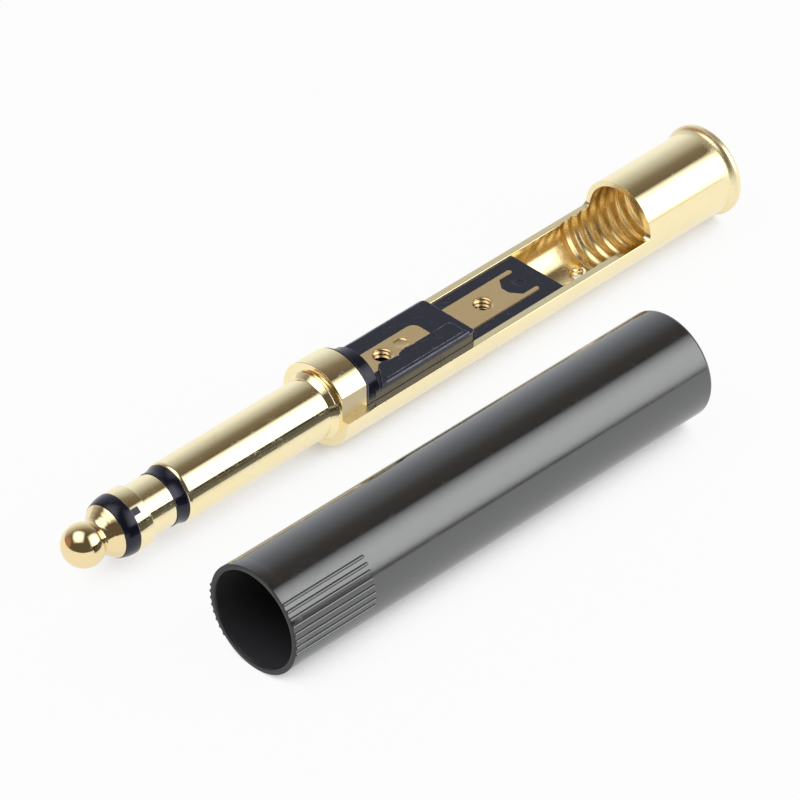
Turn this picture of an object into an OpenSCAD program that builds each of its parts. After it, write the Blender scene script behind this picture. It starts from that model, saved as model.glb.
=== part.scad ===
// Bantam plug with three contacts for audio patchbays, taken apart for wiring.
// The plug lies as it rests, on its collar and its rear flange, and its handle lies beside it.
// +X runs along the plug from tip to cable end and +Z is up. The origin is on the plug's axis,
// at the shoulder where the barrel ends. Places along the plug are counted from the collar's
// front face, a step's length behind the origin. Millimetres.

/* [Contacts] */
// Diameter of the barrel, which is the long sleeve contact
barrel_d = 4.40; // [4.30:0.01:4.50]
// Length of the barrel in front of the collar
barrel_len = 13.4; // [12:0.1:15]
// Length of the ring contact that shows between the insulators
ring_len = 3.4; // [3:0.1:4]
// Length of the ring contact's full-size front land
ring_land = 1.25; // [0.8:0.05:1.6]
// Diameter of the ring contact behind its land
ring_waist_d = 3.86; // [3.6:0.02:4.2]
// Diameter of the tip's ball
ball_d = 3.06; // [2.8:0.02:3.2]
// Distance from the front of the ball to the front insulator
tip_len = 3.5; // [3.2:0.02:3.8]
// Diameter of the neck behind the ball
neck_d = 2.32; // [2:0.02:2.6]
// Diameter of the tip where it meets the front insulator
tip_base_d = 3.86; // [3.4:0.02:3.88]
// Diameter of the tip's rod, which runs back through the plug
rod_d = 1.2; // [1:0.05:1.3]

/* [Insulators] */
// Length of the front insulating bead
front_bead = 1.08; // [0.9:0.02:1.5]
// Length of the rear insulating bead
rear_bead = 1.0; // [0.8:0.05:1.4]
// Wall of the insulating tubes and of the ring's tube
tube_wall = 0.32; // [0.25:0.01:0.34]
// Width of the key on the front bead
key_w = 0.5; // [0.3:0.05:0.7]
// Length that the key reaches into the ring contact
key_len = 0.6; // [0.3:0.05:0.8]
// Angle of the key round the axis, up from the +Y side
key_angle = 130; // [100:1:160]

/* [Shell] */
// Outside diameter of the collar and the half tube
shell_d = 6.2; // [6:0.05:6.4]
// Bore of the half tube
bore_d = 5.1; // [4.9:0.05:5.2]
// Start of the coarse internal thread that grips the cable
thread_x = 25.9; // [25.5:0.1:28]
// Diameter at the root of that thread
thread_root_d = 5.46; // [5.44:0.01:5.5]
// Length of the collar
collar_len = 2.25; // [2:0.05:2.6]
// Diameter of the low step round the barrel at the collar
step_d = 4.96; // [4.7:0.02:5.2]
// Length of the cone and the low step between barrel and collar
step_len = 0.65; // [0.4:0.05:0.9]
// Distance from the collar's face to the mouth of the closed cable end
mouth_x = 29.25; // [28:0.25:31]
// Length from the collar's face to the cable end
shell_len = 38.2; // [37:0.1:40]
// Diameter of the rear flange
flange_d = 6.8; // [6.6:0.05:6.9]
// Thickness of the rear flange at its rim
flange_len = 0.45; // [0.3:0.05:0.7]
// Radius of the hollow sweep from the tube to the flange
flare_r = 0.45; // [0.35:0.05:0.9]
// Distance of the cable screen's screw hole from the collar's face
screen_screw_x = 25.5; // [24:0.25:27]

/* [Terminals] */
// Thickness of the two terminal strips
strip_t = 0.35; // [0.3:0.01:0.4]
// Width of the ring terminal
ring_strip_w = 2.1; // [1.8:0.05:2.4]
// End of the ring terminal
ring_strip_end = 10.25; // [9.5:0.05:11]
// Place of the ring terminal's screw hole
ring_screw_x = 6.3; // [5.8:0.05:7]
// Width of the tip terminal
tip_strip_w = 3.0; // [2.6:0.05:3.4]
// End of the tip terminal at the sides of its notch
tip_strip_end = 18.6; // [18:0.05:19]
// End of the tip terminal's two prongs
prong_end = 19.95; // [19.2:0.05:20.5]
// Place of the tip terminal's screw hole
tip_screw_x = 15.9; // [15:0.05:16.5]
// Bore of the tapped screw holes
screw_hole_d = 1.2; // [1:0.02:1.3]
// Depth of the collar round the ring terminal's screw hole, below the strip's top
ring_collar = 0.70; // [0.5:0.01:0.74]
// Depth of the collar round the tip terminal's screw hole, below the strip's top
tip_collar = 0.95; // [0.5:0.05:1.2]

/* [Terminal block] */
// End of the block's upper deck
upper_end = 12.65; // [12:0.05:13]
// End of the block's lower deck
lower_end = 21.3; // [20.6:0.1:22]
// Height of the upper deck above the axis
upper_z = 0.72; // [0.66:0.02:0.8]
// Height of the lower deck above the axis
lower_z = -0.14; // [-0.2:0.02:-0.1]
// Rear face of the block's round head
head_end = 3.65; // [3.4:0.05:4]
// Thickness of the head's thin flange
head_flange = 0.25; // [0.15:0.05:0.4]
// Diameter of that flange
head_flange_d = 6.06; // [5.8:0.02:6.1]
// Height of the strip of moulding that laps over the ring terminal
lap_t = 0.24; // [0.15:0.01:0.3]

/* [Handle] */
// Outside diameter of the handle tube
handle_d = 7.84; // [7.7:0.02:8.2]
// Bore of the handle tube, which passes over the rear flange
handle_bore_d = 6.94; // [6.92:0.02:7.1]
// Length of the handle tube
handle_len = 38.5; // [37:0.1:40]
// Thickness of the handle's rear wall
handle_wall = 0.9; // [0.6:0.1:1.5]
// Cable hole in the handle's rear wall
cable_hole_d = 5.2; // [4.5:0.1:5.6]
// Grip ribs in each of the two ribbed patches
rib_count = 8; // [4:1:12]
// Angle from one rib to the next
rib_step = 7.7; // [5:0.1:10]
// Length of the ribs
rib_len = 7.0; // [5:0.1:12]
// Diameter of a rib's rounded crest
rib_d = 0.26; // [0.2:0.01:0.34]
// Angle of the middle of the nearer patch, below the horizontal on the plug's far side
rib_middle = 162; // [120:1:200]
// Where the handle's front edge lies
handle_x = -19.2; // [-22:0.1:-16]
// How far to the side the handle lies
handle_y = -14.06; // [-20:0.02:-10]

/* [Hidden] */
$fn = 64;
eps = 0.01;
past = 1;

gold = "goldenrod";
black = "#20222c";
handle_black = "#35373a";

barrel_r = barrel_d / 2;
shell_r = shell_d / 2;
bore_r = bore_d / 2;
flange_r = flange_d / 2;
handle_r = handle_d / 2;

// Stations along the plug, all ahead of the collar
rear_bead_x = -barrel_len - rear_bead;
ring_x = rear_bead_x - ring_len;
key_depth = 0.5;
front_bead_x = ring_x - front_bead;
ball_x = front_bead_x - tip_len + ball_d / 2;

// Radii of the rod and of the tubes that nest round it
rod_r = rod_d / 2;
inner_tube_r = rod_r + tube_wall;
ring_tube_r = inner_tube_r + tube_wall;
outer_tube_r = ring_tube_r + tube_wall;

// The ring's tube ends in the ring terminal's eye, inside the block's head
eye_x = 2.6;
eye_t = 0.3;
eye_r = 1.85;
ring_tube_end = eye_x + eye_t;
rod_end = eye_x - 0.1;
tongue_end = 5.2;
tongue_w = 0.9;

// The block fills the half tube with a hair of room
block_r = bore_r - 0.02;
ring_strip_z = upper_z + 0.05;
tip_strip_z = lower_z + 0.08;
tip_strip_x = ring_tube_end + 0.3;
tongue_t = ring_strip_z - strip_t - tip_strip_z - 0.12;
tip_neck_w = 1.6;
tip_wide_x = 12.1;
prong_w = 0.36;
notch_depth = 0.55;
strip_corner = 0.62;
screw_room_d = screw_hole_d + 0.4;
screw_collar_wall = 0.28;
screw_floor = 0.55;
dimple_x = 8.05;
dimple_y = 0.08;
dimple_r = 0.45;
dimple_depth = 0.08;
pin_mark_x = 19.45;
pin_mark_r = 0.36;
pin_mark_depth = 0.06;
lap_front = 3.75;
lap_end = 11.75;
lap_y = -0.76;
lap_lean = 0.14;
lap_lean_h = 0.3;

// Turned details of the shell: its rounded edges, the barrel's front edge, the plain part of the
// low step behind its cone, and the cutter's corner at the mouth of the opening
turned_edge = 0.1;
nose_rise = 0.08;
nose_len = 0.2;
step_land = 0.25;
mouth_corner = 0.5;

// The plug rests on its collar and its flange, so its axis rises a little towards the cable
flange_x = shell_len - flange_len;
rest_tilt = atan((flange_r - shell_r) / (flange_x - turned_edge));
floor_z = (step_len + turned_edge) * sin(rest_tilt) - shell_r * cos(rest_tilt);
handle_yaw = -0.17;

// Turned forms: the profile's first ordinate is the radius, its second the place along X
module turned() {
    rotate([0, 90, 0]) rotate_extrude($fn = 96) children();
}

// A plain turned tube or rod between two stations
module spindle(from, to, r, hole = 0) {
    translate([from, 0, 0]) rotate([0, 90, 0]) difference() {
        cylinder(h = to - from, r = r);
        if (hole > 0) translate([0, 0, -past]) cylinder(h = to - from + 2 * past, r = hole);
    }
}

// A section drawn in Y and Z, run along X between two stations
module run(from, to) {
    translate([from, 0, 0]) rotate([90, 0, 90]) linear_extrude(to - from) children();
}

// An outline drawn in X and Y, run upwards between two heights
module slab(low, high) {
    translate([0, 0, low]) linear_extrude(high - low) children();
}

// Points on a circle's arc, for profiles
function arc(centre, r, from, to, steps) =
    [for (i = [0:steps]) let (a = from + (to - from) * i / steps)
        centre + r * [cos(a), sin(a)]];

module resting() {
    rotate([0, -rest_tilt, 0]) translate([step_len, 0, 0]) children();
}

// Ball, coned neck and long rod, turned in one; the rod's end is flattened to a tongue
module tip_contact() {
    neck_r = neck_d / 2;
    base_r = tip_base_d / 2;
    neck_x = ball_x + sqrt(pow(ball_d / 2, 2) - pow(neck_r, 2));
    color(gold) resting() {
        translate([ball_x, 0, 0]) sphere(d = ball_d);
        turned() polygon([[0, ball_x], [neck_r, ball_x], [neck_r, neck_x],
                          [base_r, front_bead_x], [rod_r, front_bead_x], [rod_r, rod_end],
                          [0, rod_end]]);
        tongue(rod_end);
    }
}

// The rod's flattened end, which lies on the tip terminal
module tongue(from) {
    intersection() {
        spindle(from - eps, tongue_end, rod_r);
        translate([from - past, -tongue_w / 2, tip_strip_z]) cube([tongue_end, tongue_w, tongue_t]);
    }
}

module inner_insulating_tube() {
    color(black) resting() spindle(ring_x, ring_tube_end, inner_tube_r, rod_r);
}

// A square bar across the ring contact's front edge, from the key's root out to a given radius
module key_bar(top) {
    rotate([key_angle, 0, 0]) translate([ring_x - eps, barrel_r - key_depth, -key_w / 2])
        cube([key_len + eps, top - barrel_r + key_depth, key_w]);
}

// Crowned bead with a key that stops the ring contact turning
module front_insulator() {
    crown_rise = 0.25;
    crown_r = (pow(front_bead, 2) + pow(crown_rise, 2)) / (2 * crown_rise);
    color(black) resting() {
        turned() polygon(concat(
            [[rod_r, front_bead_x]],
            arc([barrel_r - crown_r, ring_x], crown_r, -asin(front_bead / crown_r), 0, 6),
            [[rod_r, ring_x]]));
        key_bar(barrel_r - 0.02);
    }
}

// Ring contact and its long tube, turned in one, with a keyway in the front land
module ring_contact() {
    waist_r = ring_waist_d / 2;
    land_end = ring_x + ring_land;
    land_edge = 0.06;
    color(gold) resting() difference() {
        turned() polygon([[inner_tube_r, ring_x], [barrel_r, ring_x], [barrel_r, land_end - land_edge],
                          [barrel_r - land_edge, land_end], [waist_r, land_end], [waist_r, rear_bead_x],
                          [ring_tube_r, rear_bead_x], [ring_tube_r, ring_tube_end],
                          [inner_tube_r, ring_tube_end]]);
        key_bar(shell_r);
    }
}

module outer_insulating_tube() {
    color(black) resting() spindle(-barrel_len, eye_x, outer_tube_r, ring_tube_r);
}

// Rear bead, level with the ring's waist and then flared up to the barrel's front edge
module rear_insulator() {
    low_r = ring_waist_d / 2 + 0.04;
    color(black) resting() turned() polygon([
        [ring_tube_r, rear_bead_x], [low_r, rear_bead_x], [low_r, rear_bead_x + rear_bead / 2],
        [barrel_r - nose_rise, -barrel_len], [ring_tube_r, -barrel_len]]);
}

// Barrel, collar, half tube and flanged cable end, turned from one bar and milled open
module shell() {
    edge = turned_edge;
    thread_r = thread_root_d / 2;
    rise = flange_r - shell_r;
    flare_turn = acos(1 - rise / flare_r);
    flare_x = flange_x - flare_r * sin(flare_turn);
    color(gold) resting() difference() {
        turned() polygon(concat(
            [[outer_tube_r, -barrel_len], [barrel_r - nose_rise, -barrel_len],
             [barrel_r, -barrel_len + nose_len], [barrel_r, -step_len],
             [step_d / 2, -step_land], [step_d / 2, 0], [shell_r - edge, 0], [shell_r, edge]],
            arc([shell_r + flare_r, flare_x], flare_r, 180, 180 - flare_turn, 5),
            [[flange_r, shell_len - edge], [flange_r - edge, shell_len],
             [thread_r + edge, shell_len], [thread_r, shell_len - edge], [thread_r, thread_x],
             [bore_r, thread_x], [bore_r, collar_len], [outer_tube_r, collar_len]]));
        // The opening over the terminals, down to the axis
        rotate([90, 0, 0]) linear_extrude(2 * shell_d, center = true) polygon(concat(
            [[collar_len, shell_d], [collar_len, 0]],
            arc([mouth_x - mouth_corner, mouth_corner], mouth_corner, -90, 0, 5),
            [[mouth_x, shell_d]]));
        // Flat on the near side of the collar, in line with the bore
        translate([-eps, -bore_r - shell_d, 0]) cube([collar_len + past, shell_d, shell_d]);
        // Tapped hole in the floor for the cable screen
        translate([screen_screw_x, 0, -shell_d]) cylinder(h = shell_d, d = screw_hole_d);
    }
}

// Screw hole with its drawn collar: the collar alone, or its bore alone
module screw_collar_at(x, top, depth) {
    translate([x, 0, top - depth]) cylinder(h = depth, r = screw_hole_d / 2 + screw_collar_wall);
}

module screw_bore_at(x, top, depth) {
    translate([x, 0, top - depth - past]) cylinder(h = depth + 2 * past, d = screw_hole_d);
}

// A strip's outline with two rounded corners at its far end
module rounded_end(from, to, width, corner) {
    translate([from, -width / 2]) square([to - from - corner, width]);
    translate([from, -width / 2 + corner]) square([to - from, width - 2 * corner]);
    for (side = [-1, 1])
        translate([to - corner, side * (width / 2 - corner)]) circle(r = corner, $fn = 32);
}

// Ring terminal: flat strip, drawn screw hole and the eye that grips the ring's tube
module ring_terminal_body() {
    slab(ring_strip_z - strip_t, ring_strip_z)
        rounded_end(eye_x, ring_strip_end, ring_strip_w, strip_corner);
    screw_collar_at(ring_screw_x, ring_strip_z, ring_collar);
    run(eye_x, eye_x + eye_t) {
        circle(r = eye_r);
        translate([-ring_strip_w / 2, 0]) square([ring_strip_w, ring_strip_z]);
    }
}

module ring_terminal() {
    color(gold) resting() difference() {
        ring_terminal_body();
        screw_bore_at(ring_screw_x, ring_strip_z, ring_collar);
        translate([dimple_x, dimple_y, ring_strip_z - dimple_depth]) cylinder(h = past, r = dimple_r);
        spindle(eye_x - past, ring_tube_end + eps, ring_tube_r);
    }
}

// Tip terminal: narrow neck under the rod's tongue, wide plate, notched end with two prongs
module tip_terminal_outline() {
    half = tip_strip_w / 2;
    neck = tip_neck_w / 2;
    inside = half - prong_w;
    polygon([[tip_strip_x, -neck], [tip_wide_x, -neck], [tip_wide_x + 0.3, -half],
             [prong_end, -half], [prong_end, -inside], [tip_strip_end, -inside],
             [tip_strip_end - notch_depth, 0], [tip_strip_end, inside], [prong_end, inside],
             [prong_end, half], [tip_wide_x + 0.3, half], [tip_wide_x, neck],
             [tip_strip_x, neck]]);
}

module tip_terminal_body() {
    slab(tip_strip_z - strip_t, tip_strip_z) tip_terminal_outline();
    screw_collar_at(tip_screw_x, tip_strip_z, tip_collar);
}

module tip_terminal() {
    color(gold) resting() difference() {
        tip_terminal_body();
        screw_bore_at(tip_screw_x, tip_strip_z, tip_collar);
    }
}

// The moulding's section: round below, where it fills the half tube, and flat on top
module deck_section(top) {
    if (top > 0) translate([-block_r, 0]) square([2 * block_r, top]);
    intersection() {
        circle(r = block_r, $fn = 96);
        translate([-block_r, -2 * block_r]) square([2 * block_r, 2 * block_r + min(top, 0)]);
    }
}

// The lap of moulding over the ring terminal's near edge, ragged beside the screw hole
module lap_outline() {
    polygon([[lap_front, -block_r], [4.0, -1.7], [4.7, -1.22], [5.2, -1.05], [5.8, -1.25],
             [6.75, -1.12], [7.45, -0.9], [8.4, lap_y], [lap_end - 0.12, lap_y],
             [lap_end, lap_y - 0.12], [lap_end + 0.25, -block_r]]);
}

// Moulded block: flanged round head, upper deck for the ring terminal, lower deck for the tip's
module terminal_block() {
    color(black) resting() difference() {
        union() {
            run(collar_len, collar_len + head_flange) {
                circle(r = block_r, $fn = 96);
                intersection() {
                    circle(d = head_flange_d, $fn = 96);
                    translate([-block_r, 0]) square([2 * block_r, shell_d]);
                }
            }
            run(collar_len, head_end) circle(r = block_r, $fn = 96);
            run(head_end - eps, upper_end) deck_section(upper_z);
            run(upper_end - eps, lower_end) deck_section(lower_z);
            slab(upper_z - eps, upper_z + lap_t) lap_outline();
        }
        // The lap's near side leans inwards
        run(head_end, lower_end) polygon([
            [-block_r - eps, upper_z + lap_t - lap_lean_h],
            [-block_r + lap_lean, upper_z + lap_t + eps],
            [-block_r - eps, upper_z + lap_t + eps]]);
        // Beds of the two terminals and of the rod with its tubes
        ring_terminal_body();
        tip_terminal_body();
        spindle(collar_len - past, eye_x, outer_tube_r);
        spindle(eye_x - eps, ring_tube_end, ring_tube_r);
        tongue(ring_tube_end);
        // Room for the screws' ends
        translate([ring_screw_x, 0, tip_strip_z + 0.03]) cylinder(h = past, d = screw_room_d);
        translate([tip_screw_x, 0, -bore_r + screw_floor]) cylinder(h = bore_r, d = screw_room_d);
        // A moulder's pin mark in the floor behind the tip terminal
        translate([pin_mark_x, 0, lower_z - pin_mark_depth]) cylinder(h = past, r = pin_mark_r);
    }
}

// Handle tube with an open front, a rear wall with the cable hole and two patches of grip ribs
module handle() {
    edge = 0.3;
    lead_in = 0.18;
    bore = handle_bore_d / 2;
    hole = cable_hole_d / 2;
    depth = handle_len - handle_wall;
    color(handle_black)
    translate([step_len + handle_x, handle_y, floor_z + handle_r]) rotate([0, 0, handle_yaw]) {
        turned() polygon(concat(
            [[bore + lead_in, 0], [handle_r - 0.05, 0], [handle_r, 0.05]],
            arc([handle_r - edge, handle_len - edge], edge, 0, 90, 4),
            [[hole, handle_len], [hole, depth], [bore, depth], [bore, 2 * lead_in]]));
        for (side = [0, 180], i = [0:rib_count - 1])
            rotate([side + rib_middle + (i - (rib_count - 1) / 2) * rib_step, 0, 0])
                translate([0, handle_r - 0.02, 0]) {
                    spindle(0.15, rib_len, rib_d / 2);
                    translate([rib_len, 0, 0]) sphere(d = rib_d);
                }
    }
}

tip_contact();
inner_insulating_tube();
front_insulator();
ring_contact();
outer_insulating_tube();
rear_insulator();
shell();
terminal_block();
ring_terminal();
tip_terminal();
handle();
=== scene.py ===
"""Dresses a bantam plug that lies open for wiring, with its handle tube beside it.

The plug's places are counted in millimetres along its own axis from the collar's front face, as its
drawings give them.  Each mesh is made in millimetres, brought to metres at the end and laid as the plug
rests: on its collar and its rear flange.
"""

import logging
import math
from collections.abc import Callable, Sequence
from dataclasses import dataclass, field
from enum import Enum
from functools import partial, reduce

import bmesh
import bpy
from mathutils import Matrix, Vector, noise


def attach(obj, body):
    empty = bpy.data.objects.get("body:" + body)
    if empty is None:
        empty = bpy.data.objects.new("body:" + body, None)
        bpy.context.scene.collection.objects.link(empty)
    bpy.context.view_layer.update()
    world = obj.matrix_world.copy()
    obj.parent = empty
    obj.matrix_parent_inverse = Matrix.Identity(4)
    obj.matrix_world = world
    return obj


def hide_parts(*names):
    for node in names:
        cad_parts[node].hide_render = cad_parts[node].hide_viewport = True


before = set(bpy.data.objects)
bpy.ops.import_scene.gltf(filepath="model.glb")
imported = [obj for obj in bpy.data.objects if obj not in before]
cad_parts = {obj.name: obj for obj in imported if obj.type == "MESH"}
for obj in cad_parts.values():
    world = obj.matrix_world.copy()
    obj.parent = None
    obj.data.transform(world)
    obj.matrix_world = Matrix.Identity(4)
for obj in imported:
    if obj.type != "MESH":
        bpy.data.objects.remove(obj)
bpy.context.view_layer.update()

MM = 0.001
AXIS_GAP = 1e-6
SOFT_STEPS = 3
STRAIGHT_TURN = math.radians(20.0)
SHARP_TURN = math.radians(28.0)
FLAT_TURN = math.radians(1.0)
ROUND = 144
LOG = logging.getLogger("bantam_plug")

Point = tuple[float, float]
Span = tuple[float, float]
Outline = list[Point]
Colour = tuple[float, float, float]
Reshape = Callable[[float, float, float], float]
Amount = Callable[[float, float], float]
Mesh = bpy.types.Mesh
Edge = bmesh.types.BMEdge
Material = bpy.types.Material
Socket = bpy.types.NodeSocket
Inputs = bpy.types.NodeInputs
Outputs = bpy.types.NodeOutputs


class Slot(Enum):
    """The record's material slots."""

    GOLD = "gold_plate"
    TERMINAL = "terminal_gold"
    INSULATOR = "insulator_black"
    HANDLE = "handle_plastic"


class Joining(Enum):
    """How one mesh is joined with another."""

    CUT = "DIFFERENCE"
    ADD = "UNION"
    KEEP = "INTERSECT"


class Stand(Enum):
    """Which way an outline is run."""

    UP = "outline in X and Y, run along Z"
    ALONG = "outline in Y and Z, run along X"
    ACROSS = "outline in X and Z, run along Y"


# Outlines


def arc(centre: Point, radius: float, start: float, end: float, steps: int) -> Outline:
    """Points on a circle's arc.

    Args:
        centre: The circle's centre.
        radius: Its radius.
        start: The first point's angle, in degrees.
        end: The last point's angle, in degrees.
        steps: How many pieces the arc has.

    Returns:
        The points from start to end.
    """
    angles = [math.radians(start + (end - start) * i / steps) for i in range(steps + 1)]
    return [(centre[0] + radius * math.cos(a), centre[1] + radius * math.sin(a)) for a in angles]


def bend(first: Point, corner: Point, last: Point, steps: int) -> Outline:
    """Points on a smooth bend round a corner.

    Args:
        first: Where the bend starts.
        corner: The corner that it rounds.
        last: Where it ends.
        steps: How many pieces it has.

    Returns:
        The points from first to last.
    """
    result: Outline = []
    for s in range(steps + 1):
        t = s / steps
        p = Vector(first) * (1 - t) ** 2 + Vector(corner) * (2 * t * (1 - t)) + Vector(last) * t**2
        result.append((p.x, p.y))
    return result


def soften(outline: Outline, radius: float) -> Outline:
    """Rounds an outline's corners, as a tool or a tumbler leaves them.

    Args:
        outline: A closed outline.
        radius: How far from a corner its rounding starts.

    Returns:
        The outline with its corners rounded, but for those that hardly turn or lie on the axis.
    """
    result: Outline = []
    for i, here in enumerate(outline):
        corner = Vector(here)
        back = Vector(outline[i - 1]) - corner
        ahead = Vector(outline[(i + 1) % len(outline)]) - corner
        if back.length < AXIS_GAP or ahead.length < AXIS_GAP:
            continue
        if math.pi - back.angle(ahead) < STRAIGHT_TURN or here[1] == 0.0:
            result.append(here)
            continue
        reach = min(radius, 0.45 * back.length, 0.45 * ahead.length)
        first, last = corner + back.normalized() * reach, corner + ahead.normalized() * reach
        result.extend(bend(first, corner, last, SOFT_STEPS))
    return result


def roughen(outline: Outline, spacing: float, size: float, where: Amount, seed: float) -> Outline:
    """Breaks an outline up into a ragged edge.

    Args:
        outline: A closed outline.
        spacing: The distance between the points that it gets.
        size: How far a point may move.
        where: How ragged the edge is at a place, from 0 to 1.
        seed: Which raggedness it is.

    Returns:
        The outline with more points, moved a little.
    """
    result: Outline = []
    scale = 0.7 / spacing
    for i, here in enumerate(outline):
        there = outline[(i + 1) % len(outline)]
        count = max(1, round(math.dist(here, there) / spacing))
        for k in range(count):
            x = here[0] + (there[0] - here[0]) * k / count
            y = here[1] + (there[1] - here[1]) * k / count
            amount = size * where(x, y)
            # noise_vector would start from the clock, so plain noise is read at two depths
            across, back = (noise.noise(Vector((x * scale, y * scale, deep))) for deep in (seed, seed + 2.8))
            result.append((x + amount * across, y + amount * back))
    return result


def metres(places: Sequence[float]) -> list[float]:
    """Places given in millimetres, in metres."""
    return [place * MM for place in places]


def other_half(half: Outline) -> Outline:
    """The mirror image of half an outline, in the order that closes it."""
    return [(x, -y) for x, y in reversed(half)]


# Meshes


@dataclass(frozen=True)
class Thread:
    """A helical thread on a turned wall: where it runs, how deep and how coarse it is."""

    start: float
    end: float
    depth: float
    pitch: float
    run_out: float
    crisp: bool = False

    def radius(self, x: float, r: float, angle: float) -> float:
        """The wall's radius at a place.

        Args:
            x: The place along the axis.
            r: The plain wall's radius.
            angle: The angle round the axis, in radians.

        Returns:
            The radius with the groove's depth added.
        """
        fade = min(1.0, max(0.0, (x - self.start) / self.run_out), max(0.0, (self.end - x) / self.run_out))
        turn = ((x - self.start) / self.pitch - angle / math.tau) % 1.0
        wave = 0.5 - 0.5 * math.cos(math.tau * turn)
        if self.crisp:
            wave = min(1.0, max(0.0, 1.3 * (1.0 - abs(2.0 * turn - 1.0)) - 0.15))
        return r + self.depth * max(0.0, fade) * wave


def to_mesh(bm: bmesh.types.BMesh, name: str) -> Mesh:
    """Closes an edit mesh: faces all look outwards, and it becomes a plain mesh."""
    bmesh.ops.recalc_face_normals(bm, faces=bm.faces)
    mesh = bpy.data.meshes.new(name)
    bm.to_mesh(mesh)
    bm.free()
    return mesh


def turned(profile: Outline, segments: int, reshape: Reshape | None = None) -> Mesh:
    """A solid turned about X.

    Args:
        profile: A closed outline of places along X and radii. Points on the axis have radius 0.
        segments: How many faces go round.
        reshape: Gives a ring point's radius from its place, its plain radius and its angle.

    Returns:
        The closed mesh.
    """
    bm = bmesh.new()
    rings = []
    for x, r in profile:
        if r < AXIS_GAP:
            rings.append([bm.verts.new((x, 0.0, 0.0))])
            continue
        ring = []
        for k in range(segments):
            a = math.tau * k / segments
            radius = reshape(x, r, a) if reshape else r
            ring.append(bm.verts.new((x, radius * math.cos(a), radius * math.sin(a))))
        rings.append(ring)
    for i, ring in enumerate(rings):
        following = rings[(i + 1) % len(rings)]
        if len(ring) == 1 and len(following) == 1:
            continue
        for k in range(segments):
            places = [(ring, k), (ring, k + 1), (following, k + 1), (following, k)]
            bm.faces.new(dict.fromkeys(row[place % segments % len(row)] for row, place in places))
    return to_mesh(bm, "turned")


def extruded(outline: Outline, low: float, high: float, stand: Stand) -> Mesh:
    """A solid with one outline all along.

    Args:
        outline: The closed outline.
        low: Where it starts.
        high: Where it ends.
        stand: Which way it is run.

    Returns:
        The closed mesh.
    """
    bm = bmesh.new()

    def corner(p: Point, level: float) -> bmesh.types.BMVert:
        """One corner of the solid."""
        places = {Stand.UP: (p[0], p[1], level), Stand.ALONG: (level, p[0], p[1]), Stand.ACROSS: (p[0], level, p[1])}
        return bm.verts.new(places[stand])

    bottom, top = [corner(p, low) for p in outline], [corner(p, high) for p in outline]
    bm.faces.new(bottom)
    bm.faces.new(top)
    for i in range(len(outline)):
        j = (i + 1) % len(outline)
        bm.faces.new((bottom[i], bottom[j], top[j], top[i]))
    return to_mesh(bm, "extruded")


def block(low: Sequence[float], high: Sequence[float]) -> Mesh:
    """A cutter with six flat sides, between two corners."""
    base = [(low[0], low[1]), (high[0], low[1]), (high[0], high[1]), (low[0], high[1])]
    return extruded(base, low[2], high[2], Stand.UP)


def linked(name: str, mesh: Mesh) -> bpy.types.Object:
    """An object in the scene that shows a mesh."""
    obj = bpy.data.objects.new(name, mesh)
    bpy.context.scene.collection.objects.link(obj)
    return obj


def join(base: Mesh, tool: Mesh, how: Joining) -> Mesh:
    """Joins two closed meshes.

    Args:
        base: The mesh that is worked on.
        tool: The mesh that cuts it or is added to it.
        how: Which way they are joined.

    Returns:
        The new closed mesh. The two given meshes are used up.
    """
    body, other = linked("body", base), linked("tool", tool)
    step = body.modifiers.new("join", "BOOLEAN")
    step.operation, step.object, step.solver = how.value, other, "MANIFOLD"
    graph = bpy.context.evaluated_depsgraph_get()
    result = bpy.data.meshes.new_from_object(body.evaluated_get(graph))
    for obj in (body, other):
        bpy.data.objects.remove(obj)
    if not result.polygons:
        raise RuntimeError(f"nothing is left after {how.name}")
    return result


def cut(base: Mesh, *tools: Mesh) -> Mesh:
    """Cuts closed meshes out of another, one after the other."""
    return reduce(partial(join, how=Joining.CUT), tools, base)


def add(base: Mesh, *tools: Mesh) -> Mesh:
    """Adds closed meshes to another, one after the other."""
    return reduce(partial(join, how=Joining.ADD), tools, base)


def bevel(mesh: Mesh, width: float, pick: Callable[[Edge], bool], steps: int = 2) -> Mesh:
    """Rounds a mesh's outward edges.

    Args:
        mesh: The closed mesh, which is changed.
        width: How far the rounding reaches from an edge.
        pick: Says which of the sharp outward edges are rounded.
        steps: How many faces a rounded edge has.

    Returns:
        The same mesh.
    """
    bm = bmesh.new()
    bm.from_mesh(mesh)
    bmesh.ops.remove_doubles(bm, verts=bm.verts, dist=1e-4)
    bmesh.ops.dissolve_limit(bm, angle_limit=FLAT_TURN, verts=bm.verts, edges=bm.edges)
    sharp = [e for e in bm.edges if e.is_manifold and e.is_convex and e.calc_face_angle(0.0) > SHARP_TURN and pick(e)]
    bmesh.ops.bevel(bm, geom=sharp, offset=width, offset_type="OFFSET", segments=steps, profile=0.5,
                    affect="EDGES", clamp_overlap=True)
    bm.to_mesh(mesh)
    bm.free()
    return mesh


def spots(edge: Edge) -> list[Vector]:
    """The places of an edge's two ends."""
    return [v.co for v in edge.verts]


def sunk(mesh: Mesh, place: Sequence[float]) -> Mesh:
    """Stands a turned mesh on end, so that its axis runs down from a place."""
    mesh.transform(Matrix.Translation(place) @ Matrix.Rotation(math.radians(90.0), 4, "Y"))
    return mesh


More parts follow.
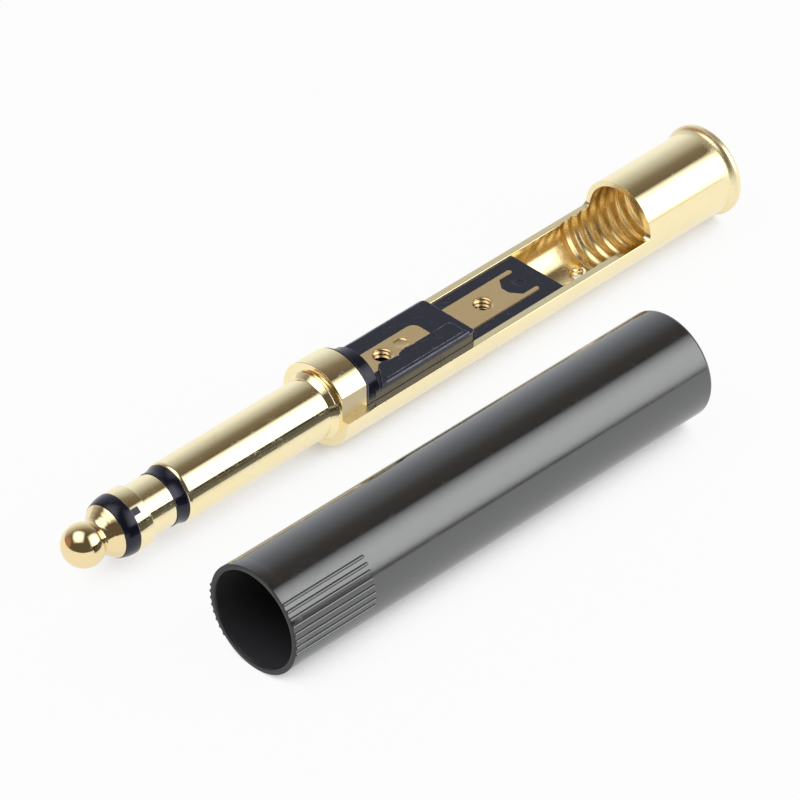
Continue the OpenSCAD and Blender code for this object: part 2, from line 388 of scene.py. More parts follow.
def threaded_cutter(place: Sequence[float], bore: float, lip: float, thread: Thread) -> Mesh:
    """The cutter for a tapped hole with a rounded lip.

    Args:
        place: The top of the hole.
        bore: The hole's radius at the thread's crests.
        lip: How far the lip reaches outwards and down.
        thread: The thread, counted downwards from the top.

    Returns:
        The closed cutter, standing on Z.
    """
    rings_per_turn = 12
    steps = round((thread.end - thread.start) / (thread.pitch / rings_per_turn))
    wall: Outline = []
    for i in range(steps + 1):
        x = thread.start + (thread.end - thread.start) * i / steps
        depth = min(1.0, max(0.0, 1.0 - x / lip)) if x > 0.0 else 1.0
        wall.append((x, bore + lip * (1.0 - math.sqrt(1.0 - depth * depth))))
    return sunk(turned([(thread.start, 0.0), *wall, (thread.end, 0.0)], 72, thread.radius), place)


# Where the plug and its handle lie


@dataclass(frozen=True)
class Seat:
    """How the plug lies on its collar and its flange, which is wider, so its axis rises towards the cable."""

    collar_r: float = 3.10
    flange_r: float = 3.40
    flange_x: float = 37.75
    edge: float = 0.1
    step_len: float = 0.65

    @property
    def tilt(self) -> float:
        """The angle by which the axis rises, in radians."""
        return math.atan((self.flange_r - self.collar_r) / (self.flange_x - self.edge))

    @property
    def floor(self) -> float:
        """The height of the floor, below the plug's shoulder."""
        return (self.step_len + self.edge) * math.sin(self.tilt) - self.collar_r * math.cos(self.tilt)

    def place(self) -> Matrix:
        """Where the plug's own axes lie, in metres."""
        return Matrix.Rotation(-self.tilt, 4, "Y") @ Matrix.Translation((self.step_len * MM, 0.0, 0.0))


SEAT = Seat()


@dataclass
class Maker:
    """Turns a mesh into a piece of the plug."""

    place: Matrix
    sharp: float = 32.0

    def piece(self, name: str, mesh: Mesh, node: str, material: Material) -> bpy.types.Object:
        """Finishes one piece and hangs it on the frame.

        Args:
            name: The piece's name.
            mesh: Its closed mesh, in millimetres on its own axis.
            node: The solid that it stands for.
            material: Its finish.

        Returns:
            The piece.
        """
        mesh.name = name
        mesh.transform(Matrix.Scale(MM, 4))
        bm = bmesh.new()
        bm.from_mesh(mesh)
        bmesh.ops.remove_doubles(bm, verts=bm.verts, dist=2e-7)
        bmesh.ops.dissolve_degenerate(bm, edges=bm.edges, dist=1e-7)
        bm.to_mesh(mesh)
        bm.free()
        mesh.transform(self.place)
        mesh.shade_smooth()
        mesh.set_sharp_from_angle(angle=math.radians(self.sharp))
        mesh.materials.clear()
        mesh.materials.append(material)
        obj = linked(name, mesh)
        weigh = obj.modifiers.new("flat faces lead", "WEIGHTED_NORMAL")
        weigh.keep_sharp = True
        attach(obj, "root")
        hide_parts(node)
        LOG.info("%s: %d faces", name, len(mesh.polygons))
        return obj


# Finishes


class Wiring:
    """Adds nodes to a tree and links them as they are added."""

    def __init__(self, tree: bpy.types.NodeTree) -> None:
        """Keeps the tree that is added to."""
        self.tree = tree

    def add(self, kind: str, inputs: dict[str | int, object] | None = None, **settings: object) -> bpy.types.Node:
        """Adds one node.

        Args:
            kind: The node's type.
            inputs: What each socket gets: a value, or another node's output.
            **settings: The node's own settings.

        Returns:
            The node.
        """
        node = self.tree.nodes.new(kind)
        for key, value in settings.items():
            setattr(node, key, value)
        for key, value in (inputs or {}).items():
            self.feed(node.inputs[key], value)
        return node

    def feed(self, socket: Socket, value: object) -> None:
        """Links a socket, or sets its own value."""
        if isinstance(value, bpy.types.NodeSocket):
            self.tree.links.new(value, socket)
        else:
            socket.default_value = value

    def math(self, operation: str, a: object, b: object = 0.0) -> Socket:
        """The result of one sum."""
        return self.add("ShaderNodeMath", {0: a, 1: b}, operation=operation).outputs[0]

    def times(self, *values: object) -> Socket:
        """The product of two values or more."""
        return reduce(partial(self.math, "MULTIPLY"), values)

    def plus(self, *values: object) -> Socket:
        """The sum of two values or more."""
        return reduce(partial(self.math, "ADD"), values)

    def most(self, *values: object) -> Socket:
        """The largest of two values or more."""
        return reduce(partial(self.math, "MAXIMUM"), values)

    def minus(self, a: object, b: object) -> Socket:
        """What is left of one value without another."""
        return self.math("SUBTRACT", a, b)

    def size(self, value: object) -> Socket:
        """A value without its sign."""
        return self.math("ABSOLUTE", value)

    def above(self, value: object, limit: object) -> Socket:
        """1 where a value is over a limit, and 0 elsewhere."""
        return self.math("GREATER_THAN", value, limit)

    def below(self, value: object, limit: object) -> Socket:
        """1 where a value is under a limit, and 0 elsewhere."""
        return self.math("LESS_THAN", value, limit)

    def blend(self, share: object, a: object, b: object) -> Socket:
        """A colour between two others."""
        return self.add("ShaderNodeMix", {0: share, 6: a, 7: b}, data_type="RGBA").outputs[2]

    def between(self, value: object, low: object, high: object, start: object = 0.0, end: object = 1.0) -> Socket:
        """A value carried from one range to another, and kept in it."""
        ranges = {0: value, 1: low, 2: high, 3: start, 4: end}
        return self.add("ShaderNodeMapRange", ranges, interpolation_type="SMOOTHSTEP").outputs[0]

    def axes(self, place: Socket) -> Outputs:
        """A place's three coordinates."""
        return self.add("ShaderNodeSeparateXYZ", {0: place}).outputs

    def radius(self, y: Socket, z: Socket) -> Socket:
        """A place's distance from the axis."""
        across = self.add("ShaderNodeCombineXYZ", {1: y, 2: z}).outputs[0]
        return self.add("ShaderNodeVectorMath", {0: across}, operation="LENGTH").outputs["Value"]

    def along(self, a: Socket, b: object) -> Socket:
        """How far one direction points along another."""
        return self.add("ShaderNodeVectorMath", {0: a, 1: b}, operation="DOT_PRODUCT").outputs["Value"]

    def drawn(self, place: Socket, share: float) -> Socket:
        """A place with its X made smaller, so that a texture is drawn out along it."""
        return self.add("ShaderNodeVectorMath", {0: place, 1: (share, 1.0, 1.0)}, operation="MULTIPLY").outputs[0]

    def cloud(self, place: Socket, scale: object, detail: float, **more: float) -> Socket:
        """Noise from 0 to 1."""
        given = {"Vector": place, "Scale": scale, "Detail": detail, **more}
        return self.add("ShaderNodeTexNoise", given).outputs["Fac"]


def rgba(colour: Colour) -> tuple[float, float, float, float]:
    """A colour with its fourth part."""
    return (*colour, 1.0)


@dataclass(frozen=True)
class Effect:
    """A shader node group that several finishes share."""

    name: str
    takes: dict[str, float] = field(default_factory=dict)
    gives: str = "Mask"

    def tree(self) -> bpy.types.NodeTree:
        """The group, which is built the first time it is asked for."""
        made = bpy.data.node_groups.get(self.name)
        if made:
            return made
        made = bpy.data.node_groups.new(self.name, "ShaderNodeTree")
        made.interface.new_socket(name="Place", in_out="INPUT", socket_type="NodeSocketVector")
        for name, value in self.takes.items():
            made.interface.new_socket(name=name, in_out="INPUT", socket_type="NodeSocketFloat").default_value = value
        made.interface.new_socket(name=self.gives, in_out="OUTPUT", socket_type="NodeSocketFloat")
        w = Wiring(made)
        given = w.add("NodeGroupInput").outputs
        sink = w.add("NodeGroupOutput")
        w.feed(sink.inputs[self.gives], self.wire(w, given))
        return made

    def wire(self, w: Wiring, given: Outputs) -> Socket:
        """Fills the group.

        Args:
            w: The group's wiring.
            given: The group's inputs.

        Returns:
            What the group gives.
        """
        raise NotImplementedError

    def use(self, w: Wiring, place: Socket, **values: float) -> Socket:
        """Puts the group into a material.

        Args:
            w: The material's wiring.
            place: The surface's coordinates.
            **values: The group's inputs for this material.

        Returns:
            The group's output.
        """
        node = w.add("ShaderNodeGroup", node_tree=self.tree())
        w.feed(node.inputs["Place"], place)
        for key, value in values.items():
            w.feed(node.inputs[key], value)
        return node.outputs[self.gives]


class TurningMarks(Effect):
    """The fine rings that a lathe's tool leaves round the axis."""

    def wire(self, w: Wiring, given: Outputs) -> Socket:
        """Stretches noise round the axis. Args and result as in Effect."""
        lines_round, patches = 260.0, 700.0
        x, y, z = w.axes(given["Place"])
        stretched = {0: w.times(x, given["Lines per m"]), 1: w.times(y, lines_round), 2: w.times(z, lines_round)}
        rings = w.cloud(w.add("ShaderNodeCombineXYZ", stretched).outputs[0], 1.0, 4.0, Roughness=0.6)
        depth = w.between(w.cloud(given["Place"], patches, 2.0), 0.35, 0.7, 0.4, 1.0)
        return w.times(rings, depth)


class Scratches(Effect):
    """Thin scratches that lie mostly one way."""

    def wire(self, w: Wiring, given: Outputs) -> Socket:
        """Keeps the thin lines where stretched noise crosses its middle. Args and result as in Effect."""
        patches, stretch = 900.0, 0.05
        lines = []
        for turn, size in ((0.5, 1.0), (-0.9, 0.7)):
            spin = {"Vector": given["Place"], "Angle": turn}
            spun = w.add("ShaderNodeVectorRotate", spin, rotation_type="Z_AXIS").outputs[0]
            web = w.cloud(w.drawn(spun, stretch), w.times(given["Scale"], size), 1.0)
            lines.append(w.between(w.size(w.minus(web, 0.5)), given["Width"], 0.0))
        bare = w.between(w.cloud(given["Place"], patches, 2.0), 0.62, 0.4)
        return w.times(w.most(*lines), w.minus(1.0, bare))


class EdgeWear(Effect):
    """Where edges are rubbed: the rounded normal leaves the true one there."""

    def wire(self, w: Wiring, given: Outputs) -> Socket:
        """Compares a rounded normal with the true one. Args and result as in Effect."""
        round_normal = w.add("ShaderNodeBevel", {"Radius": given["Radius"]}, samples=6).outputs[0]
        true_normal = w.add("ShaderNodeNewGeometry").outputs["Normal"]
        edge = w.between(w.along(round_normal, true_normal), 0.985, 0.86)
        patch = w.cloud(given["Place"], given["Patchiness"], 4.0)
        return w.times(edge, w.between(patch, 0.30, 0.62, 0.25, 1.0))


class Specks(Effect):
    """Small specks of dust and pits, a few of them larger."""

    def wire(self, w: Wiring, given: Outputs) -> Socket:
        """Keeps the middles of some cells. Args and result as in Effect."""
        largest, core = 0.32, 0.4
        cells = w.add("ShaderNodeTexVoronoi", {"Vector": given["Place"], "Scale": given["Scale"], "Randomness": 1.0})
        chance = w.add("ShaderNodeSeparateColor", {0: cells.outputs["Color"]}).outputs[0]
        size = w.between(chance, given["Rarity"], 1.0, 0.0, largest)
        return w.between(cells.outputs["Distance"], size, w.times(size, core))


class Patina(Effect):
    """Broad uneven patches, as handling and time leave them."""

    def wire(self, w: Wiring, given: Outputs) -> Socket:
        """Layers broad noise. Args and result as in Effect."""
        return w.between(w.cloud(given["Place"], given["Scale"], 5.0, Roughness=0.65, Distortion=0.4), 0.32, 0.68)


TURNING_MARKS = TurningMarks("turning marks", {"Lines per m": 9000.0}, "Height")
SCRATCHES = Scratches("scratches", {"Scale": 3000.0, "Width": 0.012})
EDGE_WEAR = EdgeWear("edge wear", {"Radius": 0.00006, "Patchiness": 2500.0})
SPECKS = Specks("specks", {"Scale": 2500.0, "Rarity": 0.9})
PATINA = Patina("patina", {"Scale": 300.0})


class Finish:
    """A finish: starts a material and leaves its wiring to the kind of finish."""

    name: str

    def material(self, lie: Matrix) -> Material:
        """Builds the material.

        Args:
            lie: Where the dressed pieces' own axes lie, in metres.

        Returns:
            The material, whose textures follow those axes.
        """
        material = bpy.data.materials.new(self.name)
        material.use_nodes = True
        w = Wiring(material.node_tree)
        shader = material.node_tree.nodes["Principled BSDF"]
        back = lie.inverted()
        place = w.add("ShaderNodeMapping", {"Vector": w.add("ShaderNodeTexCoord").outputs["Object"],
                                            "Location": back.to_translation(), "Rotation": tuple(back.to_euler())})
        self.wire(w, shader.inputs, place.outputs[0])
        return material

    def wire(self, w: Wiring, out: Inputs, place: Socket) -> None:
        """Fills the material.

        Args:
            w: The material's wiring.
            out: The shader's sockets.
            place: The surface's coordinates, in metres.
        """
        raise NotImplementedError

    @staticmethod
    def relief(w: Wiring, height: Socket, distance: float) -> Socket:
        """A normal raised by a height, where a height of 1 is so many metres."""
        return w.add("ShaderNodeBump", {"Height": height, "Distance": distance, "Strength": 1.0}).outputs[0]


@dataclass(frozen=True)
class GoldPlate(Finish):
    """Bright gold plate on turned brass. Its places are millimetres on the plug's axes."""

    name: str = "gold plate"
    colour: Colour = (0.98, 0.86, 0.54)
    deep: Colour = (0.96, 0.80, 0.45)
    # The deeper orange-brown that the bore and thread are blended towards: painted shade in the hollow.
    bore_shade_tone: Colour = (0.93, 0.70, 0.33)
    cut: Colour = (0.74, 0.63, 0.41)
    scratch: Colour = (0.84, 0.68, 0.40)
    tip: Colour = (0.89, 0.71, 0.40)
    polish: float = 0.055
    bore_finish: float = 0.13
    thread_finish: float = 0.24
    milled_finish: float = 0.42
    flange_finish: float = 0.34
    relief_m: float = 2.4e-6
    groove_turns: float = 26000.0
    groove_depth: float = 0.6
    pit_depth: float = 0.9
    coarser: float = 2.5
    tip_rear: float = -18.86
    cone: tuple[float, float, float] = (-20.35, -20.15, -18.88)
    thread_start: Span = (25.8, 26.8)
    flare: Span = (36.6, 37.3)
    bore_r: float = 2.84
    bore_front: float = 2.2
    rims_z: float = -0.06
    closed_from: float = 29.3
    collar: Span = (0.01, 2.26)
    flat_y: float = -2.53
    ledge_z: float = -0.02
    skin: Span = (2.8, 0.28)
    mouth: Span = (29.05, 0.3)
    mouth_z: float = -0.01
    mouth_share: float = 0.6

    def wire(self, w: Wiring, out: Inputs, place: Socket) -> None:
        """Polished metal with tool rings, scratches and small pits, and painted shade inside the bore. Args as in
        Finish.
        """
        rings = TURNING_MARKS.use(w, place)
        scratches = SCRATCHES.use(w, place, Scale=2600.0, Width=0.007)
        pits = SPECKS.use(w, place, Scale=3200.0, Rarity=0.93)
        patches = PATINA.use(w, place, Scale=380.0)
        inside, milled = self.bored(w, place), self.milled(w, place)
        x = w.axes(place)[0]
        tone = rgba(self.colour)
        # Inside the bore the colour is blended towards the deeper orange-brown, as painted shade.
        for share, colour in ((w.times(patches, 0.35), self.deep), (w.times(inside, 0.6), self.bore_shade_tone),
                              (w.between(milled, 0.6, 1.0), self.cut),
                              (w.times(w.below(x, self.tip_rear * MM), 0.8), self.tip),
                              (w.times(scratches, 0.5), self.scratch)):
            tone = w.blend(share, tone, rgba(colour))
        w.feed(out["Base Color"], tone)
        w.feed(out["Metallic"], 1.0)
        threaded = w.between(x, *metres(self.thread_start), self.bore_finish, self.thread_finish)
        outside = w.between(x, *metres(self.flare), self.polish, self.flange_finish)
        dullest = w.most(w.times(inside, threaded), w.times(milled, self.milled_finish), outside)
        w.feed(out["Roughness"], w.plus(w.times(scratches, 0.22), w.times(patches, 0.035), dullest))
        front, full, rear = metres(self.cone)
        coned = w.times(w.between(x, front, full), w.below(x, rear))
        rings = w.times(rings, w.plus(w.times(w.most(milled, coned), self.coarser), 1.0))
        grooves = w.times(w.math("SINE", w.times(x, self.groove_turns)), coned, self.groove_depth)
        height = w.minus(w.plus(rings, grooves, w.times(scratches, -0.5)), w.times(pits, self.pit_depth))
        w.feed(out["Normal"], self.relief(w, height, self.relief_m))

    def bored(self, w: Wiring, place: Socket) -> Socket:
        """Where the shell is bored or threaded, which is duller, and where its colour is darkened to a deeper
        orange-brown as painted shade in the hollow.

        Args:
            w: The material's wiring.
            place: The surface's coordinates, in metres.

        Returns:
            1 inside the half tube and the cable end, and 0 elsewhere.
        """
        x, y, z = w.axes(place)
        in_bore = w.times(w.below(w.radius(y, z), self.bore_r * MM), w.above(x, self.bore_front * MM))
        return w.times(in_bore, w.most(w.below(z, self.rims_z * MM), w.above(x, self.closed_from * MM)))

    def milled(self, w: Wiring, place: Socket) -> Socket:
        """Where a cutter left the shell dull.

        Args:
            w: The material's wiring.
            place: The surface's coordinates, in metres.

        Returns:
            1 on the collar's flat and on the ledge under it, about half on the mouth's face, and 0 elsewhere.
        """
        x, y, z = w.axes(place)
        front, rear = metres(self.collar)
        on_flat = w.times(w.below(x, rear), w.above(x, front), w.below(y, self.flat_y * MM),
                          w.above(z, self.ledge_z * MM))
        at_mouth = [w.below(w.size(w.minus(value, middle * MM)), reach * MM)
                    for value, (middle, reach) in ((x, self.mouth), (w.radius(y, z), self.skin))]
        return w.most(on_flat, w.times(*at_mouth, w.above(z, self.mouth_z * MM), self.mouth_share))


@dataclass(frozen=True)
class TerminalGold(Finish):
    """Satin gold plate on stamped brass strip."""

    name: str = "terminal gold"
    colour: Colour = (0.74, 0.54, 0.27)
    worn: Colour = (0.82, 0.68, 0.42)
    finish: Span = (0.24, 0.40)
    relief_m: float = 1.2e-6
    stretch: float = 0.12

    def wire(self, w: Wiring, out: Inputs, place: Socket) -> None:
        """Rolled strip with a fine grain and rubbed edges. Args as in Finish."""
        grain = w.cloud(w.drawn(place, self.stretch), 9000.0, 4.0)
        patches = PATINA.use(w, place, Scale=650.0)
        edges = EDGE_WEAR.use(w, place, Radius=0.00005, Patchiness=1800.0)
        scratches = SCRATCHES.use(w, place, Scale=4200.0, Width=0.008)
        light = w.most(w.times(edges, 0.8), w.times(patches, 0.25))
        w.feed(out["Base Color"], w.blend(light, rgba(self.colour), rgba(self.worn)))
        w.feed(out["Metallic"], 1.0)
        w.feed(out["Roughness"], w.between(w.plus(patches, w.times(scratches, 0.6)), 0.0, 1.4, *self.finish))
        w.feed(out["Normal"], self.relief(w, w.minus(w.times(grain, 0.35), scratches), self.relief_m))


@dataclass(frozen=True)
class InsulatorBlack(Finish):
    """Glossy blue-black moulding, lighter along its rubbed edges, with painted highlights along two long edges. Its
    places are millimetres on the plug's axes.
    """

    name: str = "insulator black"
    colour: Colour = (0.0050, 0.0068, 0.0150)
    # The pale colour of the rubbed edges, and also the colour of the painted highlights along two long edges.
    rubbed: Colour = (0.46, 0.46, 0.58)
    sheen: Colour = (0.82, 0.82, 1.0)
    gloss: float = 0.13
    dullest: float = 0.42
    index: float = 1.5
    relief_m: float = 4.0e-6
    strip_y: float = 1.18
    strip_end: float = 10.4
    lap_notch: Span = (2.7, 4.6)
    handled_z: float = 0.5
    deck: Span = (3.7, 0.66)
    # The painted highlight along the upper deck's far edge: where it starts and ends across, and its strength.
    deck_highlight_band: tuple[float, float, float] = (2.38, 2.46, 0.8)
    lap: Span = (4.2, 0.87)
    # The painted highlight along the lap's near edge: where it starts and ends across, and its strength.
    lap_edge: tuple[float, float, float] = (-2.41, -2.46, 0.5)

    def wire(self, w: Wiring, out: Inputs, place: Socket) -> None:
        """Glossy moulding with rubbed edges, painted edge highlights, hair scratches and dust. Args as in Finish."""
        edges = EDGE_WEAR.use(w, place, Radius=0.00011)
        scratches = SCRATCHES.use(w, place, Scale=3600.0, Width=0.006)
        dust = SPECKS.use(w, place, Scale=4200.0, Rarity=0.95)
        patches = PATINA.use(w, place, Scale=520.0)
        edges = w.times(edges, w.plus(w.times(self.handled(w, place), 0.75), 0.25))
        # Painted highlights along the deck's far edge and the lap's near edge, lightened towards the pale colour.
        edge_highlight_bands = w.times(self.painted_edge_highlights(w, place), w.plus(w.times(patches, 0.5), 0.5))
        light = w.most(edges, edge_highlight_bands, w.times(scratches, 0.12), w.times(dust, 0.2))
        w.feed(out["Base Color"], w.blend(light, rgba(self.colour), rgba(self.rubbed)))
        w.feed(out["Roughness"], w.plus(w.between(light, 0.0, 1.0, self.gloss, self.dullest), w.times(patches, 0.07)))
        w.feed(out["IOR"], self.index)
        w.feed(out["Specular Tint"], rgba(self.sheen))
        height = w.minus(w.cloud(place, 1400.0, 3.0), w.times(scratches, 0.3))
        w.feed(out["Normal"], self.relief(w, height, self.relief_m))

    def handled(self, w: Wiring, place: Socket) -> Socket:
        """Where hands and tools reach the moulding.

        Args:
            w: The material's wiring.
            place: The surface's coordinates, in metres.

        Returns:
            1 on the decks, away from the ring terminal and the lap's notch, and 0 elsewhere.
        """
        x, y, z = w.axes(place)
        outer = w.most(w.above(w.size(y), self.strip_y * MM), w.above(x, self.strip_end * MM))
        front, rear = metres(self.lap_notch)
        return w.times(outer, w.most(w.above(x, rear), w.below(x, front)), w.above(z, self.handled_z * MM))

    def painted_edge_highlights(self, w: Wiring, place: Socket) -> Socket:
        """The painted highlights along two long edges: the upper deck's far one and the lap's near one.

        Args:
            w: The material's wiring.
            place: The surface's coordinates, in metres.

        Returns:
            How strongly each painted highlight shows, and 0 elsewhere.
        """
        x, y, z = w.axes(place)
        edge_highlight_bands = []
        for (front, level), (inner, outer, share) in ((self.deck, self.deck_highlight_band), (self.lap, self.lap_edge)):
            reached = w.times(w.above(z, level * MM), w.above(x, front * MM))
            edge_highlight_bands.append(w.times(w.between(y, inner * MM, outer * MM, 0.0, share), reached))
        return w.most(*edge_highlight_bands)


@dataclass(frozen=True)
class HandleBlack(Finish):
    """Semi-gloss dark grey tube, with drawn lines, scuffs and dust."""

    name: str = "handle black"
    colour: Colour = (0.0120, 0.0138, 0.0160)
    rubbed: Colour = (0.085, 0.086, 0.09)
    sheen: Colour = (0.98, 0.985, 0.985)
    gloss: float = 0.085
    index: float = 2.2
    relief_m: float = 3.0e-6
    stretch: float = 0.06

    def wire(self, w: Wiring, out: Inputs, place: Socket) -> None:
        """Glossy plastic with rubbed ribs, faint lines and dust. Args as in Finish."""
        edges = EDGE_WEAR.use(w, place, Radius=0.00007, Patchiness=900.0)
        scratches = SCRATCHES.use(w, place, Scale=1700.0, Width=0.004)
        dust = SPECKS.use(w, place, Scale=2600.0, Rarity=0.965)
        patches = PATINA.use(w, place, Scale=220.0)
        light = w.most(w.times(edges, 0.6), w.times(dust, 0.6))
        w.feed(out["Base Color"], w.blend(light, rgba(self.colour), rgba(self.rubbed)))
        w.feed(out["Roughness"], w.plus(w.times(scratches, 0.12), w.times(patches, 0.05), self.gloss))
        w.feed(out["IOR"], self.index)
        w.feed(out["Specular Tint"], rgba(self.sheen))
        lines = w.cloud(w.drawn(place, self.stretch), 1800.0, 3.0)
        w.feed(out["Normal"], self.relief(w, w.minus(lines, w.times(scratches, 0.5)), self.relief_m))


# The plug's sub-assemblies


@dataclass
class ContactStack:
    """Tip, ring and the two beads that keep them apart, at the front of the barrel."""

    barrel_r: float = 2.20
    barrel_len: float = 13.4
    rear_bead: float = 1.0
    ring_len: float = 3.4
    ring_land: float = 1.25
    land_edge: float = 0.06
    ring_waist_r: float = 1.93
    front_bead: float = 1.08
    tip_len: float = 3.5
    ball_r: float = 1.53
    neck_r: float = 1.16
    neck_turn: float = 9.0
    neck_fillet: float = 0.55
    base_r: float = 1.93
    rod_r: float = 0.6
    rod_end: float = 2.5
    ring_tube_r: float = 1.24
    ring_tube_end: float = 2.9
    tube_wall: float = 0.32
    key_angle: float = 130.0
    key_w: float = 0.5
    key_len: float = 0.6
    key_depth: float = 0.5
    key_edge: float = 0.05
    crown_rise: float = 0.25
    nose_rise: float = 0.08
    bead_proud: float = 0.04
    swell_from: float = 0.35
    edge: float = 0.035

    @property
    def bead_rear(self) -> float:
        """The rear bead's front edge, where the ring contact ends."""
        return -self.barrel_len - self.rear_bead

    @property
    def ring_x(self) -> float:
        """The ring contact's front edge."""
        return self.bead_rear - self.ring_len

    @property
    def bead_x(self) -> float:
        """The front bead's front edge."""
        return self.ring_x - self.front_bead

    @property
    def ball_x(self) -> float:
        """The middle of the tip's ball."""
        return self.bead_x - self.tip_len + self.ball_r

    def tip(self) -> Mesh:
        """Ball, coned neck and long rod, turned in one."""
        meet = math.acos(self.neck_r / self.ball_r)
        neck = (self.ball_x + self.ball_r * math.sin(meet), self.neck_r)
        ball_end = 90.0 - math.degrees(meet) + self.neck_turn
        ball = arc((self.ball_x, 0.0), self.ball_r, 180.0, ball_end, 44)
        ball[0] = (self.ball_x - self.ball_r, 0.0)
        cone = Vector((self.bead_x, self.base_r)) - Vector(neck)
        fillet = bend(ball[-1], neck, Vector(neck) + cone.normalized() * self.neck_fillet, 10)
        rear = soften([neck, (self.bead_x, self.base_r), (self.bead_x, self.rod_r), (neck[0], self.rod_r)], 0.04)[4:8]
        rod = [(self.bead_x, self.rod_r), (self.rod_end, self.rod_r), (self.rod_end, 0.0)]
        return turned([*ball, *fillet[1:], *rear, *rod], ROUND)

    def front_insulator(self) -> Mesh:
        """Crowned bead with the key that sits in the ring contact."""
        radius = (self.front_bead**2 + self.crown_rise**2) / (2 * self.crown_rise)
        lean = math.degrees(math.asin(self.front_bead / radius))
        crown = arc((self.ring_x, self.barrel_r - radius), radius, 90.0 + lean, 90.0, 14)
        crown[0] = (crown[0][0] + 0.02, crown[0][1])
        front = [(self.bead_x, self.rod_r), (self.bead_x, crown[0][1] - 0.03)]
        bead = turned([*front, *crown, (self.ring_x, self.rod_r)], ROUND)
        return add(bead, self.key_bar(self.barrel_r - 0.02, 0.0))

    def key_bar(self, top: float, room: float) -> Mesh:
        """A bar across the ring contact's front edge.

        Args:
            top: The radius that it reaches to.
            room: How much wider than the key it is.

        Returns:
            The closed bar.
        """
        half = self.key_w / 2 + room
        low = (self.ring_x - 0.2, self.barrel_r - self.key_depth, -half)
        bar = block(low, (self.ring_x + self.key_len + room, top, half))

        def at_end(e: Edge) -> bool:
            """Picks the level edges of the bar's rear end."""
            a, b = spots(e)
            return min(a.x, b.x) > self.ring_x and abs(a.z - b.z) < 0.01

        bevel(bar, self.key_edge, at_end)
        bar.transform(Matrix.Rotation(math.radians(self.key_angle), 4, "X"))
        return bar

    def ring(self) -> Mesh:
        """Ring contact with its land, its waist and its long tube, turned in one."""
        land_end = self.ring_x + self.ring_land
        bore = self.ring_tube_r - self.tube_wall
        profile = [
            (self.ring_x, bore), (self.ring_x, self.barrel_r), (land_end - self.land_edge, self.barrel_r),
            (land_end, self.barrel_r - self.land_edge), (land_end, self.ring_waist_r),
            (self.bead_rear, self.ring_waist_r), (self.bead_rear, self.ring_tube_r),
            (self.ring_tube_end, self.ring_tube_r), (self.ring_tube_end, bore),
        ]
        return cut(turned(soften(profile, self.edge), ROUND), self.key_bar(self.barrel_r + 1.0, 0.01))

    def rear_insulator(self) -> Mesh:
        """Bead that is level with the ring's waist and then swells up to the barrel."""
        front, inner, end = self.bead_rear, self.ring_tube_r, -self.barrel_len
        low, high = self.ring_waist_r + self.bead_proud, self.barrel_r - self.nose_rise
        start = (front + self.swell_from, low)
        level = [(front, inner), (front, low - 0.03), (front + 0.03, low), start]
        swell = bend(start, (front + 0.6, low + 0.02), (end - 0.02, high), 8)
        return turned([*level, *swell[1:], (end, high - 0.03), (end, inner)], ROUND)

    def build(self, maker: Maker, gold: Material, black: Material) -> None:
        """Makes and dresses the four pieces.

        Args:
            maker: Finishes each piece.
            gold: The contacts' finish.
            black: The beads' finish.
        """
        maker.piece("tip_ball_and_rod", self.tip(), "tip_contact", gold)
        maker.piece("front_bead", self.front_insulator(), "front_insulator", black)
        maker.piece("ring_band", self.ring(), "ring_contact", gold)
        maker.piece("rear_bead", self.rear_insulator(), "rear_insulator", black)


